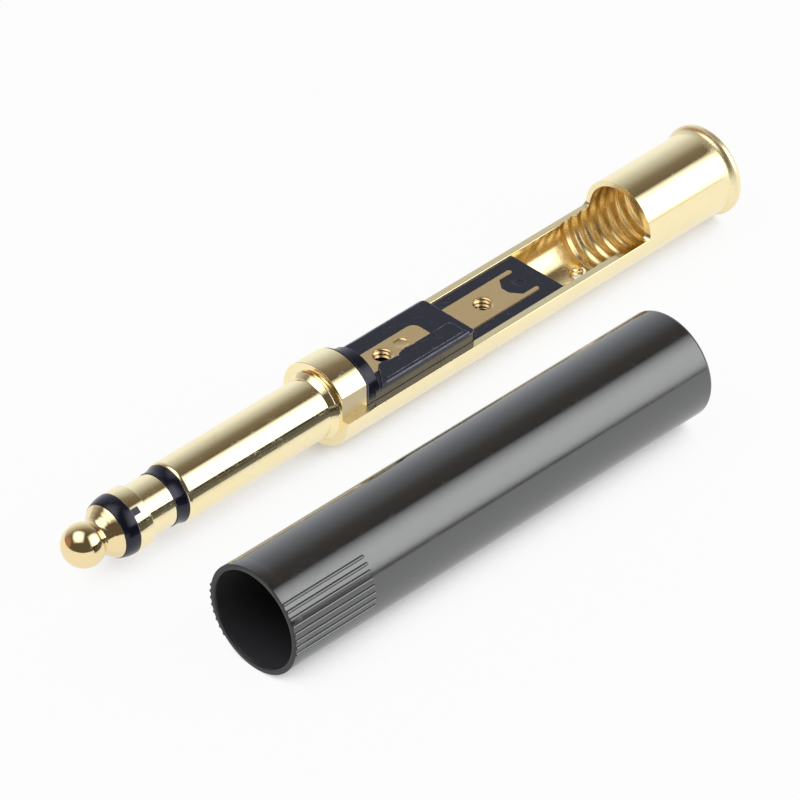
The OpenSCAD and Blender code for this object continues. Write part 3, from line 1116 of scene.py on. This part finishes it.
@dataclass
class Shell:
    """Barrel, collar, half tube and flanged cable end, turned from one bar and milled open."""

    barrel_r: float = 2.20
    barrel_len: float = 13.4
    barrel_bore: float = 1.56
    nose_rise: float = 0.08
    nose_len: float = 0.2
    step_r: float = 2.48
    step_len: float = 0.65
    step_land: float = 0.25
    collar_r: float = 3.10
    collar_len: float = 2.25
    flat_len: float = 2.75
    bore_r: float = 2.55
    mouth_x: float = 29.25
    length: float = 38.2
    flange_r: float = 3.40
    flange_len: float = 0.45
    flare_r: float = 0.45
    rim_bend: float = 0.2
    rim_lead: float = 0.3
    rim_edge: float = 0.05
    near_edge: float = 0.02
    far_edge: float = 0.05
    turned_edge: float = 0.06
    milled_edge: float = 0.05
    mouth_corner: float = 0.36
    screen_x: float = 25.5
    screen_r: float = 0.6
    screen_lip: float = 0.1
    ring_gap: float = 0.055
    cable_thread: Thread = Thread(start=26.0, end=37.9, depth=0.15, pitch=0.93, run_out=0.9)
    screw_thread: Thread = Thread(start=-0.4, end=1.2, depth=0.13, pitch=0.3, run_out=0.02, crisp=True)

    def profile(self) -> Outline:
        """The turned outline, before anything is milled away."""
        flange_x = self.length - self.flange_len
        turn = math.degrees(math.acos(1 - (self.flange_r - self.collar_r) / self.flare_r))
        flare_x = flange_x - self.flare_r * math.sin(math.radians(turn))
        flare = arc((flare_x, self.collar_r + self.flare_r), self.flare_r, 270.0, 270.0 + turn, 12)
        front = [
            (-self.barrel_len, self.barrel_bore), (-self.barrel_len, self.barrel_r - self.nose_rise),
            (-self.barrel_len + self.nose_len, self.barrel_r), (-self.step_len, self.barrel_r),
            (-self.step_land, self.step_r), (0.0, self.step_r), (0.0, self.collar_r),
        ]
        start, end = (self.length - self.rim_bend, self.flange_r), (self.length, self.flange_r - self.rim_bend)
        rim = bend(start, (self.length, self.flange_r), end, 5)
        back = [*rim, (self.length, self.bore_r + self.rim_lead), (self.length - self.rim_lead, self.bore_r)]
        rear_wall = [(self.collar_len, self.bore_r), (self.collar_len, self.barrel_bore)]
        outside = soften([*front, *flare, *back, *rear_wall], self.turned_edge)
        last = max(i for i, p in enumerate(outside) if p[0] > self.mouth_x)
        thread = self.cable_thread
        count = round((thread.end - thread.start) / self.ring_gap)
        wall = [(thread.end - (thread.end - thread.start) * i / count, self.bore_r) for i in range(count + 1)]
        return [*outside[: last + 1], *wall[1:], *outside[last + 1 :]]

    def wall_radius(self, x: float, r: float, angle: float) -> float:
        """Threads the bore and leaves the rest plain. Args and result as in Thread.radius."""
        return self.cable_thread.radius(x, r, angle) if abs(r - self.bore_r) < 1e-4 else r

    def opening_section(self) -> Outline:
        """What is milled away over the terminals, with the rims' edges broken."""
        top, c = 2 * self.collar_r, self.rim_edge
        outer = [*arc((self.collar_r - c, -c), c, 90.0, 0.0, 3), (top, -c), (top, top)]
        far, near = ([*arc((self.bore_r + i, -i), i, 180.0, 90.0, 3), *outer] for i in (self.far_edge, self.near_edge))
        return [*far, *[(-y, z) for y, z in reversed(near)]]

    def mouth_section(self) -> Outline:
        """What the cutter's corner takes away in front of the closed cable end, in X and Z."""
        start, top = self.mouth_x - self.mouth_corner, 2 * self.collar_r
        corner = arc((start, self.mouth_corner), self.mouth_corner, 270.0, 360.0, 10)
        return [(start - 0.2, 0.0), *corner, (self.mouth_x, top), (start - 0.2, top)]

    def milled_edges(self, e: Edge) -> bool:
        """Picks the edges of the collar's flat and the outer edge of the cable end's mouth."""
        start = self.mouth_x - self.mouth_corner

        def on_flat(v: Vector) -> bool:
            """Whether a place is on the collar's flat."""
            return abs(v.y + self.bore_r) < 1e-3 and v.z > 0.01 and v.x < self.collar_len + 0.01

        def on_mouth(v: Vector) -> bool:
            """Whether a place is on the mouth's outer edge."""
            outside = abs(math.hypot(v.y, v.z) - self.collar_r) < 1e-3
            return start + 0.01 < v.x < self.mouth_x + 1e-3 and outside and v.z > 1e-4

        return all(map(on_flat, spots(e))) or all(map(on_mouth, spots(e)))

    def mesh(self) -> Mesh:
        """Turns the shell and mills it."""
        reach, corner_x = 2 * self.collar_r, self.mouth_x - self.mouth_corner
        shell = cut(
            turned(self.profile(), 176, self.wall_radius),
            extruded(self.opening_section(), self.collar_len, corner_x, Stand.ALONG),
            extruded(self.mouth_section(), -reach, reach, Stand.ACROSS),
            block((-0.01, -reach, 0.0), (self.flat_len, -self.bore_r, reach)),
            threaded_cutter((self.screen_x, 0.0, -self.bore_r), self.screen_r, self.screen_lip, self.screw_thread),
        )
        return bevel(shell, self.milled_edge, self.milled_edges)

    def build(self, maker: Maker, gold: Material) -> None:
        """Makes and dresses the shell.

        Args:
            maker: Finishes the piece.
            gold: Its finish.
        """
        maker.piece("barrel_and_shell", self.mesh(), "shell", gold)


@dataclass(frozen=True)
class Strip:
    """A terminal's strip: its outline, its top's height, its screw hole and how far the hole's collar goes down."""

    outline: Outline
    top: float
    hole: Point
    depth: float


@dataclass
class TerminalCarrier:
    """Moulded block with its two decks, and the two terminals that are bedded in it."""

    block_r: float = 2.53
    front: float = 2.25
    flange_end: float = 2.5
    flange_r: float = 3.03
    head_end: float = 3.65
    head_edge: float = 0.06
    flange_edge: float = 0.07
    upper_end: float = 12.65
    lower_end: float = 21.3
    upper_z: float = 0.72
    lower_z: float = -0.14
    moulded_edge: float = 0.03
    lap_t: float = 0.24
    lap_edge: float = 0.08
    lap_plain: float = 8.8
    seam: Span = (4.6, 11.7)
    seam_y: tuple[float, float, float] = (-2.225, -2.2, -2.175)
    seam_depth: float = 0.025
    strip_t: float = 0.35
    strip_edge: float = 0.035
    ring_w: float = 2.1
    ring_from: float = 2.6
    ring_end: float = 10.25
    ring_z: float = 0.77
    ring_hole: Point = (6.27, 0.03)
    eye: Span = (2.6, 2.9)
    eye_r: Span = (1.25, 1.85)
    tip_w: float = 3.0
    tip_neck_w: float = 1.6
    tip_from: float = 3.2
    tip_wide: float = 12.1
    tip_end: float = 18.6
    tip_z: float = -0.06
    tip_hole: Point = (15.9, 0.07)
    notch: float = 0.55
    prong_end: float = 19.95
    prong_w: float = 0.36
    corner: float = 0.62
    deck_corner: float = 0.4
    hole_r: float = 0.58
    hole_lip: float = 0.15
    collar_wall: float = 0.28
    ring_collar: float = 0.70
    tip_collar: float = 0.95
    screw_room: float = 0.8
    dimple: Point = (8.05, 0.05)
    dimple_r: float = 0.55
    dimple_depth: float = 0.075
    gate_marks: tuple[Point, ...] = ((9.1, 0.08), (9.45, 0.16), (9.7, 0.1))
    gate_z: float = 0.04
    pin_mark_x: float = 19.45
    pin_mark_r: float = 0.36
    screw_thread: Thread = Thread(start=-0.3, end=1.3, depth=0.14, pitch=0.32, run_out=0.02, crisp=True)

    def deck_section(self, top: float) -> Outline:
        """The moulding's section: round below, where it fills the half tube, and flat on top.

        Args:
            top: The deck's height above the axis.

        Returns:
            The closed outline in Y and Z.
        """
        r = self.block_r
        lean = math.degrees(math.asin(max(0.0, -top) / r))
        below = [*reversed(arc((0.0, 0.0), r, 180.0 + lean, 360.0 - lean, 60))]
        return [(r, top), *below, (-r, top)] if top > 0 else below

    def lap_outline(self) -> Outline:
        """The lap of moulding over the ring terminal, ragged where it nears the screw hole."""
        r = self.block_r
        ragged = [(3.75, -r), (4.25, -1.9), (4.7, -1.35), (4.96, -0.9), (5.2, -0.72), (5.56, -0.68), (6.0, -0.87),
                  (6.4, -0.93), (6.79, -1.0), (7.09, -0.83), (7.41, -0.70), (7.74, -0.69), (8.33, -0.78),
                  (9.03, -0.755)]
        end = [*arc((11.55, -1.11), 0.35, 90.0, 0.0, 7), (11.9, -1.95), (12.0, -r)]

        def torn(x: float, y: float) -> float:
            """How ragged the lap is at a place."""
            return 0.0 if y < -r + 0.1 or x > self.lap_plain else 1.0

        return roughen([*ragged, *end], spacing=0.06, size=0.07, where=torn, seed=3.7)

    def deck_plan(self) -> Outline:
        """The upper deck's plan, with its two rear corners rounded."""
        c, wide = self.deck_corner, self.block_r
        start, side = self.upper_end - c - 0.01, wide + 0.1
        corner = arc((self.upper_end - c, wide - c), c, 90.0, 0.0, 8)
        return [(0.0, -side), (0.0, side), (start, side), *corner, *other_half(corner), (start, -side)]

    def ring_strip(self) -> Strip:
        """The ring terminal, with two rounded corners at its far end."""
        half, c = self.ring_w / 2, self.corner
        near = arc((self.ring_end - c, half - c), c, 90.0, 0.0, 8)
        outline = [(self.ring_from, -half), (self.ring_from, half), *near, *other_half(near)]
        return Strip(outline, self.ring_z, self.ring_hole, self.ring_collar)

    def tip_strip(self) -> Strip:
        """The tip terminal, with its notch and its two prongs."""
        half, neck, inside = self.tip_w / 2, self.tip_neck_w / 2, self.tip_w / 2 - self.prong_w
        upper = [(self.tip_from, neck), (self.tip_wide, neck), (self.tip_wide + 0.3, half),
                 (self.prong_end - 0.12, half), (self.prong_end, half - 0.12), (self.prong_end, inside + 0.08),
                 (self.prong_end - 0.08, inside), (self.tip_end + 0.1, inside), (self.tip_end, inside - 0.06),
                 (self.tip_end - self.notch, 0.36)]
        return Strip([*upper, *other_half(upper)], self.tip_z, self.tip_hole, self.tip_collar)

    def plain(self, strip: Strip) -> Mesh:
        """A strip with the drawn collar of its screw hole, before it is tapped."""
        wall, depth = self.hole_r + self.collar_wall, strip.depth - 0.01
        collar = turned([(0.0, 0.0), (0.0, wall), (depth, wall), (depth, 0.0)], 64)
        sheet = extruded(strip.outline, strip.top - self.strip_t, strip.top, Stand.UP)
        return add(sheet, sunk(collar, (*strip.hole, strip.top - 0.01)))

    def tapped(self, strip: Strip) -> Mesh:
        """A strip with its edges broken and its hole tapped."""
        underside = strip.top - self.strip_t
        mesh = bevel(self.plain(strip), self.strip_edge, lambda e: max(p.z for p in spots(e)) > underside - 0.01)
        return cut(mesh, threaded_cutter((*strip.hole, strip.top), self.hole_r, self.hole_lip, self.screw_thread))

    def ring_terminal(self) -> Mesh:
        """Ring terminal with its tapped hole, its dimple and the eye that grips the ring's tube."""
        (front, rear), (bore, outer) = self.eye, self.eye_r
        eye = turned([(front, 0.0), (front, outer), (rear, outer), (rear, 0.0)], 96)
        hole = turned([(front - 0.6, 0.0), (front - 0.6, bore), (rear + 0.3, bore), (rear + 0.3, 0.0)], 96)
        deep, wide = self.dimple_depth, self.dimple_r
        dent = [(-0.3, 0.0), (-0.3, wide + 0.02), (0.0, wide), (0.35 * deep, wide - 0.04), (0.8 * deep, wide - 0.12),
                (deep, wide - 0.2), (deep, 0.0)]
        punch = sunk(turned(dent, 72), (*self.dimple, self.ring_z))
        return cut(add(self.tapped(self.ring_strip()), eye), hole, punch)

    def head(self) -> Mesh:
        """The round head, with the flange that stands against the collar over the half tube."""
        r, rim_r = self.block_r, self.flange_r
        head = [(self.front, 0.0), (self.front, r), (self.head_end, r), (self.head_end, 0.0)]
        rim = [(self.front, 0.0), (self.front, rim_r), (self.flange_end, rim_r), (self.flange_end, 0.0)]
        flange = join(turned(soften(rim, self.flange_edge), 128), block((0.0, -r, 0.02), (10.0, r, 10.0)), Joining.KEEP)
        return add(turned(soften(head, self.head_edge), 128), flange)

    def lap(self) -> Mesh:
        """The lap over the ring terminal, rounded along its near edge and its end, with its fine groove."""
        r, top = self.block_r, self.upper_z + self.lap_t

        def rounded(e: Edge) -> bool:
            """Picks the lap's upper edge, where it isn't torn."""
            return all(p.z > top - 0.001 and (p.x > self.lap_plain + 0.1 or p.y < -r + 0.001) for p in spots(e))

        lap = bevel(extruded(self.lap_outline(), self.upper_z - 0.1, top, Stand.UP), self.lap_edge, rounded, 4)
        groove = list(zip(self.seam_y, (top + 0.01, top - self.seam_depth, top + 0.01)))
        return cut(lap, extruded(groove, *self.seam, Stand.ALONG))

    def gate_mark(self, x: float, size: float) -> Mesh:
        """A small mark of the mould on the block's near side."""
        side = -self.block_r
        return block((x - size, side - 0.02, self.gate_z), (x + 0.4 * size, side + 0.1, self.gate_z + 1.6 * size))

    def moulding(self) -> Mesh:
        """The block: flanged round head, two decks, and the lap over the ring terminal."""
        upper = extruded(self.deck_section(self.upper_z), self.head_end - 0.5, self.upper_end, Stand.ALONG)
        upper = join(upper, extruded(self.deck_plan(), -4.0, 4.0, Stand.UP), Joining.KEEP)
        lower = extruded(self.deck_section(self.lower_z), self.upper_end - 1.5, self.lower_end, Stand.ALONG)
        whole = add(self.head(), upper, lower)
        bevel(whole, self.moulded_edge, lambda e: all(p.z > -0.3 and p.x > 2.6 for p in spots(e)))
        whole = add(whole, self.lap(), *(self.gate_mark(x, size) for x, size in self.gate_marks))
        rooms = [extruded(arc(hole, self.screw_room, 0.0, 354.0, 59), low, high, Stand.UP)
                 for hole, low, high in ((self.ring_hole, self.tip_z + 0.03, 2.0), (self.tip_hole, -2.0, 0.6))]
        beds = [self.plain(self.ring_strip()), self.plain(self.tip_strip())]
        pin_mark = arc((self.pin_mark_x, 0.0), self.pin_mark_r, 0.0, 350.0, 35)
        return cut(whole, *rooms, *beds, extruded(pin_mark, self.lower_z - 0.05, 1.0, Stand.UP))

    def build(self, maker: Maker, gold: Material, black: Material) -> None:
        """Makes and dresses the block and its terminals.

        Args:
            maker: Finishes each piece.
            gold: The terminals' finish.
            black: The moulding's finish.
        """
        maker.piece("terminal_carrier", self.moulding(), "terminal_block", black)
        maker.piece("ring_terminal_strip", self.ring_terminal(), "ring_terminal", gold)
        maker.piece("tip_terminal_strip", self.tapped(self.tip_strip()), "tip_terminal", gold)


@dataclass
class Handle:
    """Handle tube with its grip ribs, off the plug and lying beside it."""

    radius: float = 3.92
    bore: float = 3.47
    length: float = 38.5
    wall: float = 0.9
    cable_hole: float = 2.6
    edge: float = 0.3
    mouth_edge: float = 0.07
    lead_in: float = 0.07
    rib_count: int = 8
    rib_step: float = 7.7
    rib_start: float = 0.015
    rib_edge: float = 0.025
    rib_len: float = 7.0
    rib_r: float = 0.13
    rib_sunk: float = 0.02
    rib_middle: float = 162.0
    front: Point = (-18.55, -14.06)
    yaw: float = -0.17
    sawn_gloss: float = 0.335
    sawn_index: float = 1.48
    bore_colour: Colour = (0.060, 0.060, 0.068)
    near: float = 0.03
    sawn_depth: float = 0.04
    lead_depth: float = 1.0

    def place(self) -> Matrix:
        """Where the handle's own axis lies, in metres."""
        lie = Matrix.Translation(Vector((*self.front, SEAT.floor + self.radius)) * MM)
        return lie @ Matrix.Rotation(math.radians(self.yaw), 4, "Z")

    def rib(self, angle: float) -> Mesh:
        """One rib, sawn off at the tube's mouth and round at its far end, at an angle round the tube."""
        tail = arc((self.rib_len, 0.0), self.rib_r, 90.0, 0.0, 6)
        tail[-1] = (self.rib_len + self.rib_r, 0.0)
        start, edge = self.rib_start, self.rib_edge
        rib = turned([(start, 0.0), (start, self.rib_r - edge), (start + edge, self.rib_r), *tail], 24)
        out = Matrix.Translation((0.0, self.radius - self.rib_sunk, 0.0))
        rib.transform(Matrix.Rotation(math.radians(angle), 4, "X") @ out)
        return rib

    def mesh(self) -> Mesh:
        """Turns the tube and adds the ribs."""
        depth, lead = self.length - self.wall, 2 * self.lead_in
        back = arc((self.length - self.edge, self.radius - self.edge), self.edge, 90.0, 0.0, 8)
        mouth = [(lead, self.bore), (0.0, self.bore + self.lead_in), (0.0, self.radius), (1.0, self.radius)]
        front = soften(mouth, self.mouth_edge)[1:-1]
        inner = [(self.length, self.cable_hole), (depth, self.cable_hole), (depth, self.bore), (lead, self.bore)]
        first = self.rib_middle - (self.rib_count - 1) / 2 * self.rib_step
        ribs = [self.rib(side + first + i * self.rib_step) for side in (0.0, 180.0) for i in range(self.rib_count)]
        return add(turned([*front, *back, *inner], 192), *ribs)

    def build(self) -> None:
        """Makes the handle and dresses its outside, its sawn end and its bore."""
        lie = self.place()
        tube = Maker(lie).piece("handle_tube", self.mesh(), "handle", HandleBlack().material(lie))
        dull = {"gloss": self.sawn_gloss, "index": self.sawn_index}
        for finish in (HandleBlack("handle sawn end", **dull), HandleBlack("handle bore", self.bore_colour, **dull)):
            tube.data.materials.append(finish.material(lie))
        back = lie.inverted()
        for face in tube.data.polygons:
            x, y, z = back @ face.center / MM
            radius = math.hypot(y, z)
            if radius < self.bore + self.near and x < self.length - self.wall / 2:
                face.material_index = 2
            elif x < self.sawn_depth or (x < self.lead_depth and radius < self.bore + self.lead_in + self.near):
                face.material_index = 1


# The studio


def empty_material(name: str) -> tuple[Material, Wiring]:
    """A material for the studio with nothing in it yet, and its wiring."""
    material = bpy.data.materials.new(name)
    material.use_nodes = True
    material.node_tree.nodes.clear()
    return material, Wiring(material.node_tree)


@dataclass
class Panel:
    """A soft lamp: a flat panel that is brightest in its middle. A higher foot fills its lower half more."""

    name: str
    centre: Vector
    right: Vector
    up: Vector
    half: Span
    strength: float
    foot: float = 2.0
    rest: float = 0.05

    def build(self) -> None:
        """Makes the panel, which the camera doesn't see."""
        bm = bmesh.new()
        layer = bm.loops.layers.uv.new("panel")
        corners = ((0, 0), (1, 0), (1, 1), (0, 1))
        sides = [(self.right * self.half[0] * (2 * u - 1), self.up * self.half[1] * (2 * v - 1)) for u, v in corners]
        face = bm.faces.new([bm.verts.new(self.centre + across + upwards) for across, upwards in sides])
        for loop, uv in zip(face.loops, corners):
            loop[layer].uv = uv
        mesh = bpy.data.meshes.new(self.name)
        bm.to_mesh(mesh)
        bm.free()
        mesh.materials.append(self.glow())
        obj = linked(self.name, mesh)
        obj.visible_camera = obj.visible_shadow = False

    def glow(self) -> Material:
        """The panel's light, which fades towards its edges."""
        material, w = empty_material(self.name)
        u, v, _ = w.axes(w.add("ShaderNodeUVMap", uv_map="panel").outputs[0])
        across, upwards = (w.minus(w.times(value, 2.0), 1.0) for value in (u, v))
        power = w.plus(w.times(w.below(upwards, 0.0), self.foot - 2.0), 2.0)
        sideways = w.minus(1.0, w.times(across, across))
        level = w.minus(1.0, w.math("POWER", w.size(upwards), power))
        fade = w.plus(w.times(sideways, level, 1.0 - self.rest), self.rest)
        light = w.add("ShaderNodeEmission", {"Strength": w.times(fade, self.strength)})
        w.add("ShaderNodeOutputMaterial", {"Surface": light.outputs[0]})
        return material


# How bright the room is towards the far wall, by how far a direction points at it
WALL_STOPS: tuple[tuple[float, Colour], ...] = (
    (0.0, (0.115, 0.095, 0.075)), (0.33, (0.180, 0.148, 0.118)), (0.45, (0.205, 0.172, 0.140)),
    (0.56, (0.285, 0.262, 0.240)), (0.67, (0.42, 0.415, 0.41)), (0.76, (0.52, 0.53, 0.55)),
    (0.86, (0.66, 0.68, 0.72)), (0.95, (0.83, 0.86, 0.92)), (1.0, (0.95, 0.98, 1.03)),
)


@dataclass
class Studio:
    """Pale floor, soft light and the camera at the photograph's angle."""

    azimuth: float = -44.8927
    elevation: float = 37.2765
    distance: float = 389.40
    aim: tuple[float, float, float] = (18.65, -5.0, 0.005)
    shift: Span = (-10.6656, -5.2494)
    lens: float = 258.81
    sensor: float = 36.0
    floor_size: float = 3.0
    floor_colour: Colour = (0.9, 0.9, 0.9)
    floor_white: float = 0.94
    shade_reach: float = 0.006
    shade_seen: Span = (0.05, 0.4)
    shade_mirrored: float = 0.7
    edge_radius: float = 0.15
    edge_height: float = 0.0076
    edge_centre: Point = (0.005, -0.005)
    edge_turn: float = 115.0
    edge_steps: int = 48
    edge_dark: Colour = (0.48, 0.46, 0.43)
    edge_light: Colour = (0.86, 0.84, 0.80)
    edge_change: Span = (0.090, 0.105)
    horizon: Vector = field(default_factory=lambda: Vector((0.56, 0.83, 0.0)).normalized())
    warm_side: Vector = field(default_factory=lambda: Vector((-0.70, 0.69, 0.18)).normalized())
    warm_colour: Colour = (0.44, 0.22, 0.14)
    warm_reach: Span = (0.88, 0.99)

    def camera(self) -> None:
        """Stands the camera where the photograph's stood."""
        a, e = math.radians(self.azimuth), math.radians(self.elevation)
        back = Vector((math.sin(a) * math.cos(e), -math.cos(a) * math.cos(e), math.sin(e)))
        right = Vector((math.cos(a), math.sin(a), 0.0))
        up = back.cross(right)
        data = bpy.data.cameras.new("camera")
        data.lens, data.sensor_width = self.lens, self.sensor
        data.clip_start, data.clip_end = 0.01, 20.0
        cam = bpy.data.objects.new("camera", data)
        bpy.context.scene.collection.objects.link(cam)
        where = Vector(self.aim) + right * self.shift[0] + up * self.shift[1] + back * self.distance
        cam.matrix_world = Matrix.Translation(where * MM) @ Matrix((right, up, back)).transposed().to_4x4()
        bpy.context.scene.camera = cam

    def floor(self) -> None:
        """Lays the pale floor, which keeps the plug's shadow and shows white elsewhere."""
        half, level = self.floor_size, SEAT.floor * MM
        corners = [(-half, -half, level), (half, -half, level), (half, half, level), (-half, half, level)]
        mesh = bpy.data.meshes.new("floor")
        mesh.from_pydata(corners, [], [(0, 1, 2, 3)])
        material, w = empty_material("floor")
        path = w.add("ShaderNodeLightPath").outputs
        room = w.add("ShaderNodeAmbientOcclusion", {"Distance": self.shade_reach}, samples=6).outputs["AO"]
        straight = w.most(path["Is Camera Ray"], path["Is Transmission Ray"])
        straight = w.times(straight, w.between(room, *self.shade_seen))
        mirrored = w.times(path["Is Glossy Ray"], w.between(room, 0.0, 1.0, self.shade_mirrored, 1.0))
        paper = w.add("ShaderNodeBsdfDiffuse", {"Color": rgba(self.floor_colour)}).outputs[0]
        white = w.add("ShaderNodeEmission", {"Strength": 1.0}).outputs[0]
        shown = w.times(w.most(straight, mirrored), self.floor_white)
        mixed = w.add("ShaderNodeMixShader", {0: shown, 1: paper, 2: white})
        w.add("ShaderNodeOutputMaterial", {"Surface": mixed.outputs[0]})
        mesh.materials.append(material)
        obj = linked("floor", mesh)

    def table_edge(self) -> None:
        """A low grey edge round the near side, which draws the thin dark line in the glossy tubes."""
        bm = bmesh.new()
        foot, (left, near) = SEAT.floor * MM, self.edge_centre
        posts = []
        for i in range(self.edge_steps + 1):
            a = math.radians(-self.edge_turn + self.edge_turn * i / self.edge_steps)
            x, y = left + self.edge_radius * math.cos(a), near + self.edge_radius * math.sin(a)
            posts.append([bm.verts.new((x, y, height)) for height in (foot, foot + self.edge_height)])
        for (low, high), (next_low, next_high) in zip(posts, posts[1:]):
            bm.faces.new((low, next_low, next_high, high))
        mesh = bpy.data.meshes.new("table_edge")
        bm.to_mesh(mesh)
        bm.free()
        material, w = empty_material("table edge")
        x = w.axes(w.add("ShaderNodeTexCoord").outputs["Object"])[0]
        tone = w.blend(w.between(x, *self.edge_change), rgba(self.edge_dark), rgba(self.edge_light))
        grey = w.add("ShaderNodeEmission", {"Color": tone, "Strength": 1.0})
        w.add("ShaderNodeOutputMaterial", {"Surface": grey.outputs[0]})
        mesh.materials.append(material)
        obj = linked("table_edge", mesh)
        obj.visible_camera = obj.visible_shadow = obj.visible_diffuse = False

    def lamps(self) -> None:
        """Hangs a large panel to the right and a smaller one overhead."""
        Panel("side_panel", centre=Vector((0.526, -0.648, 0.543)), right=Vector((0.831, 0.269, -0.484)),
              up=Vector((0.158, 0.725, 0.666)), half=(0.656, 0.59), strength=2.5, foot=5.0).build()
        Panel("top_panel", centre=Vector((-0.365, 0.16, 0.918)), right=Vector((0.43, -0.84, 0.32)),
              up=Vector((0.75, 0.64, 0.14)), half=(0.57, 0.65), strength=2.3).build()

    def world(self) -> None:
        """A bright far wall that fades to a dim warm room, and white wherever the camera sees past the floor."""
        world = bpy.data.worlds.new("studio")
        world.use_nodes = True
        world.node_tree.nodes.clear()
        w = Wiring(world.node_tree)
        way = w.add("ShaderNodeTexCoord").outputs["Generated"]
        ramp = w.add("ShaderNodeValToRGB", {0: w.along(way, self.horizon)})
        elements = ramp.color_ramp.elements
        for element, (position, colour) in zip(elements, (WALL_STOPS[0], WALL_STOPS[-1])):
            element.position, element.color = position, rgba(colour)
        for position, colour in WALL_STOPS[1:-1]:
            elements.new(position).color = rgba(colour)
        warm = w.between(w.along(way, self.warm_side), *self.warm_reach)
        room = w.blend(warm, ramp.outputs["Color"], rgba(self.warm_colour))
        path = w.add("ShaderNodeLightPath").outputs
        shown = w.blend(path["Is Camera Ray"], room, rgba((1.0, 1.0, 1.0)))
        light = w.add("ShaderNodeBackground", {"Color": shown, "Strength": 1.0})
        w.add("ShaderNodeOutputWorld", {"Surface": light.outputs[0]})
        bpy.context.scene.world = world

    def build(self) -> None:
        """Sets the whole studio up."""
        self.camera()
        self.floor()
        self.table_edge()
        self.lamps()
        self.world()
        bpy.context.scene.view_settings.view_transform = "Standard"


def dress_hidden_tubes(black: Material) -> None:
    """Gives the two insulating tubes inside the plug the moulding's finish."""
    for name in ("inner_insulating_tube", "outer_insulating_tube"):
        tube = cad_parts[name]
        tube.data.materials.clear()
        tube.data.materials.append(black)


def main() -> None:
    """Builds the plug piece by piece, and then the studio."""
    logging.basicConfig(level=logging.INFO, format="%(name)s: %(message)s", force=True)
    maker = Maker(SEAT.place())
    gold = GoldPlate().material(maker.place)
    terminal = TerminalGold().material(maker.place)
    black = InsulatorBlack().material(maker.place)
    ContactStack().build(maker, gold, black)
    Shell().build(maker, gold)
    TerminalCarrier().build(maker, terminal, black)
    Handle().build()
    dress_hidden_tubes(black)
    Studio().build()
    LOG.info("the studio stands")


if __name__ == "__main__":
    main()
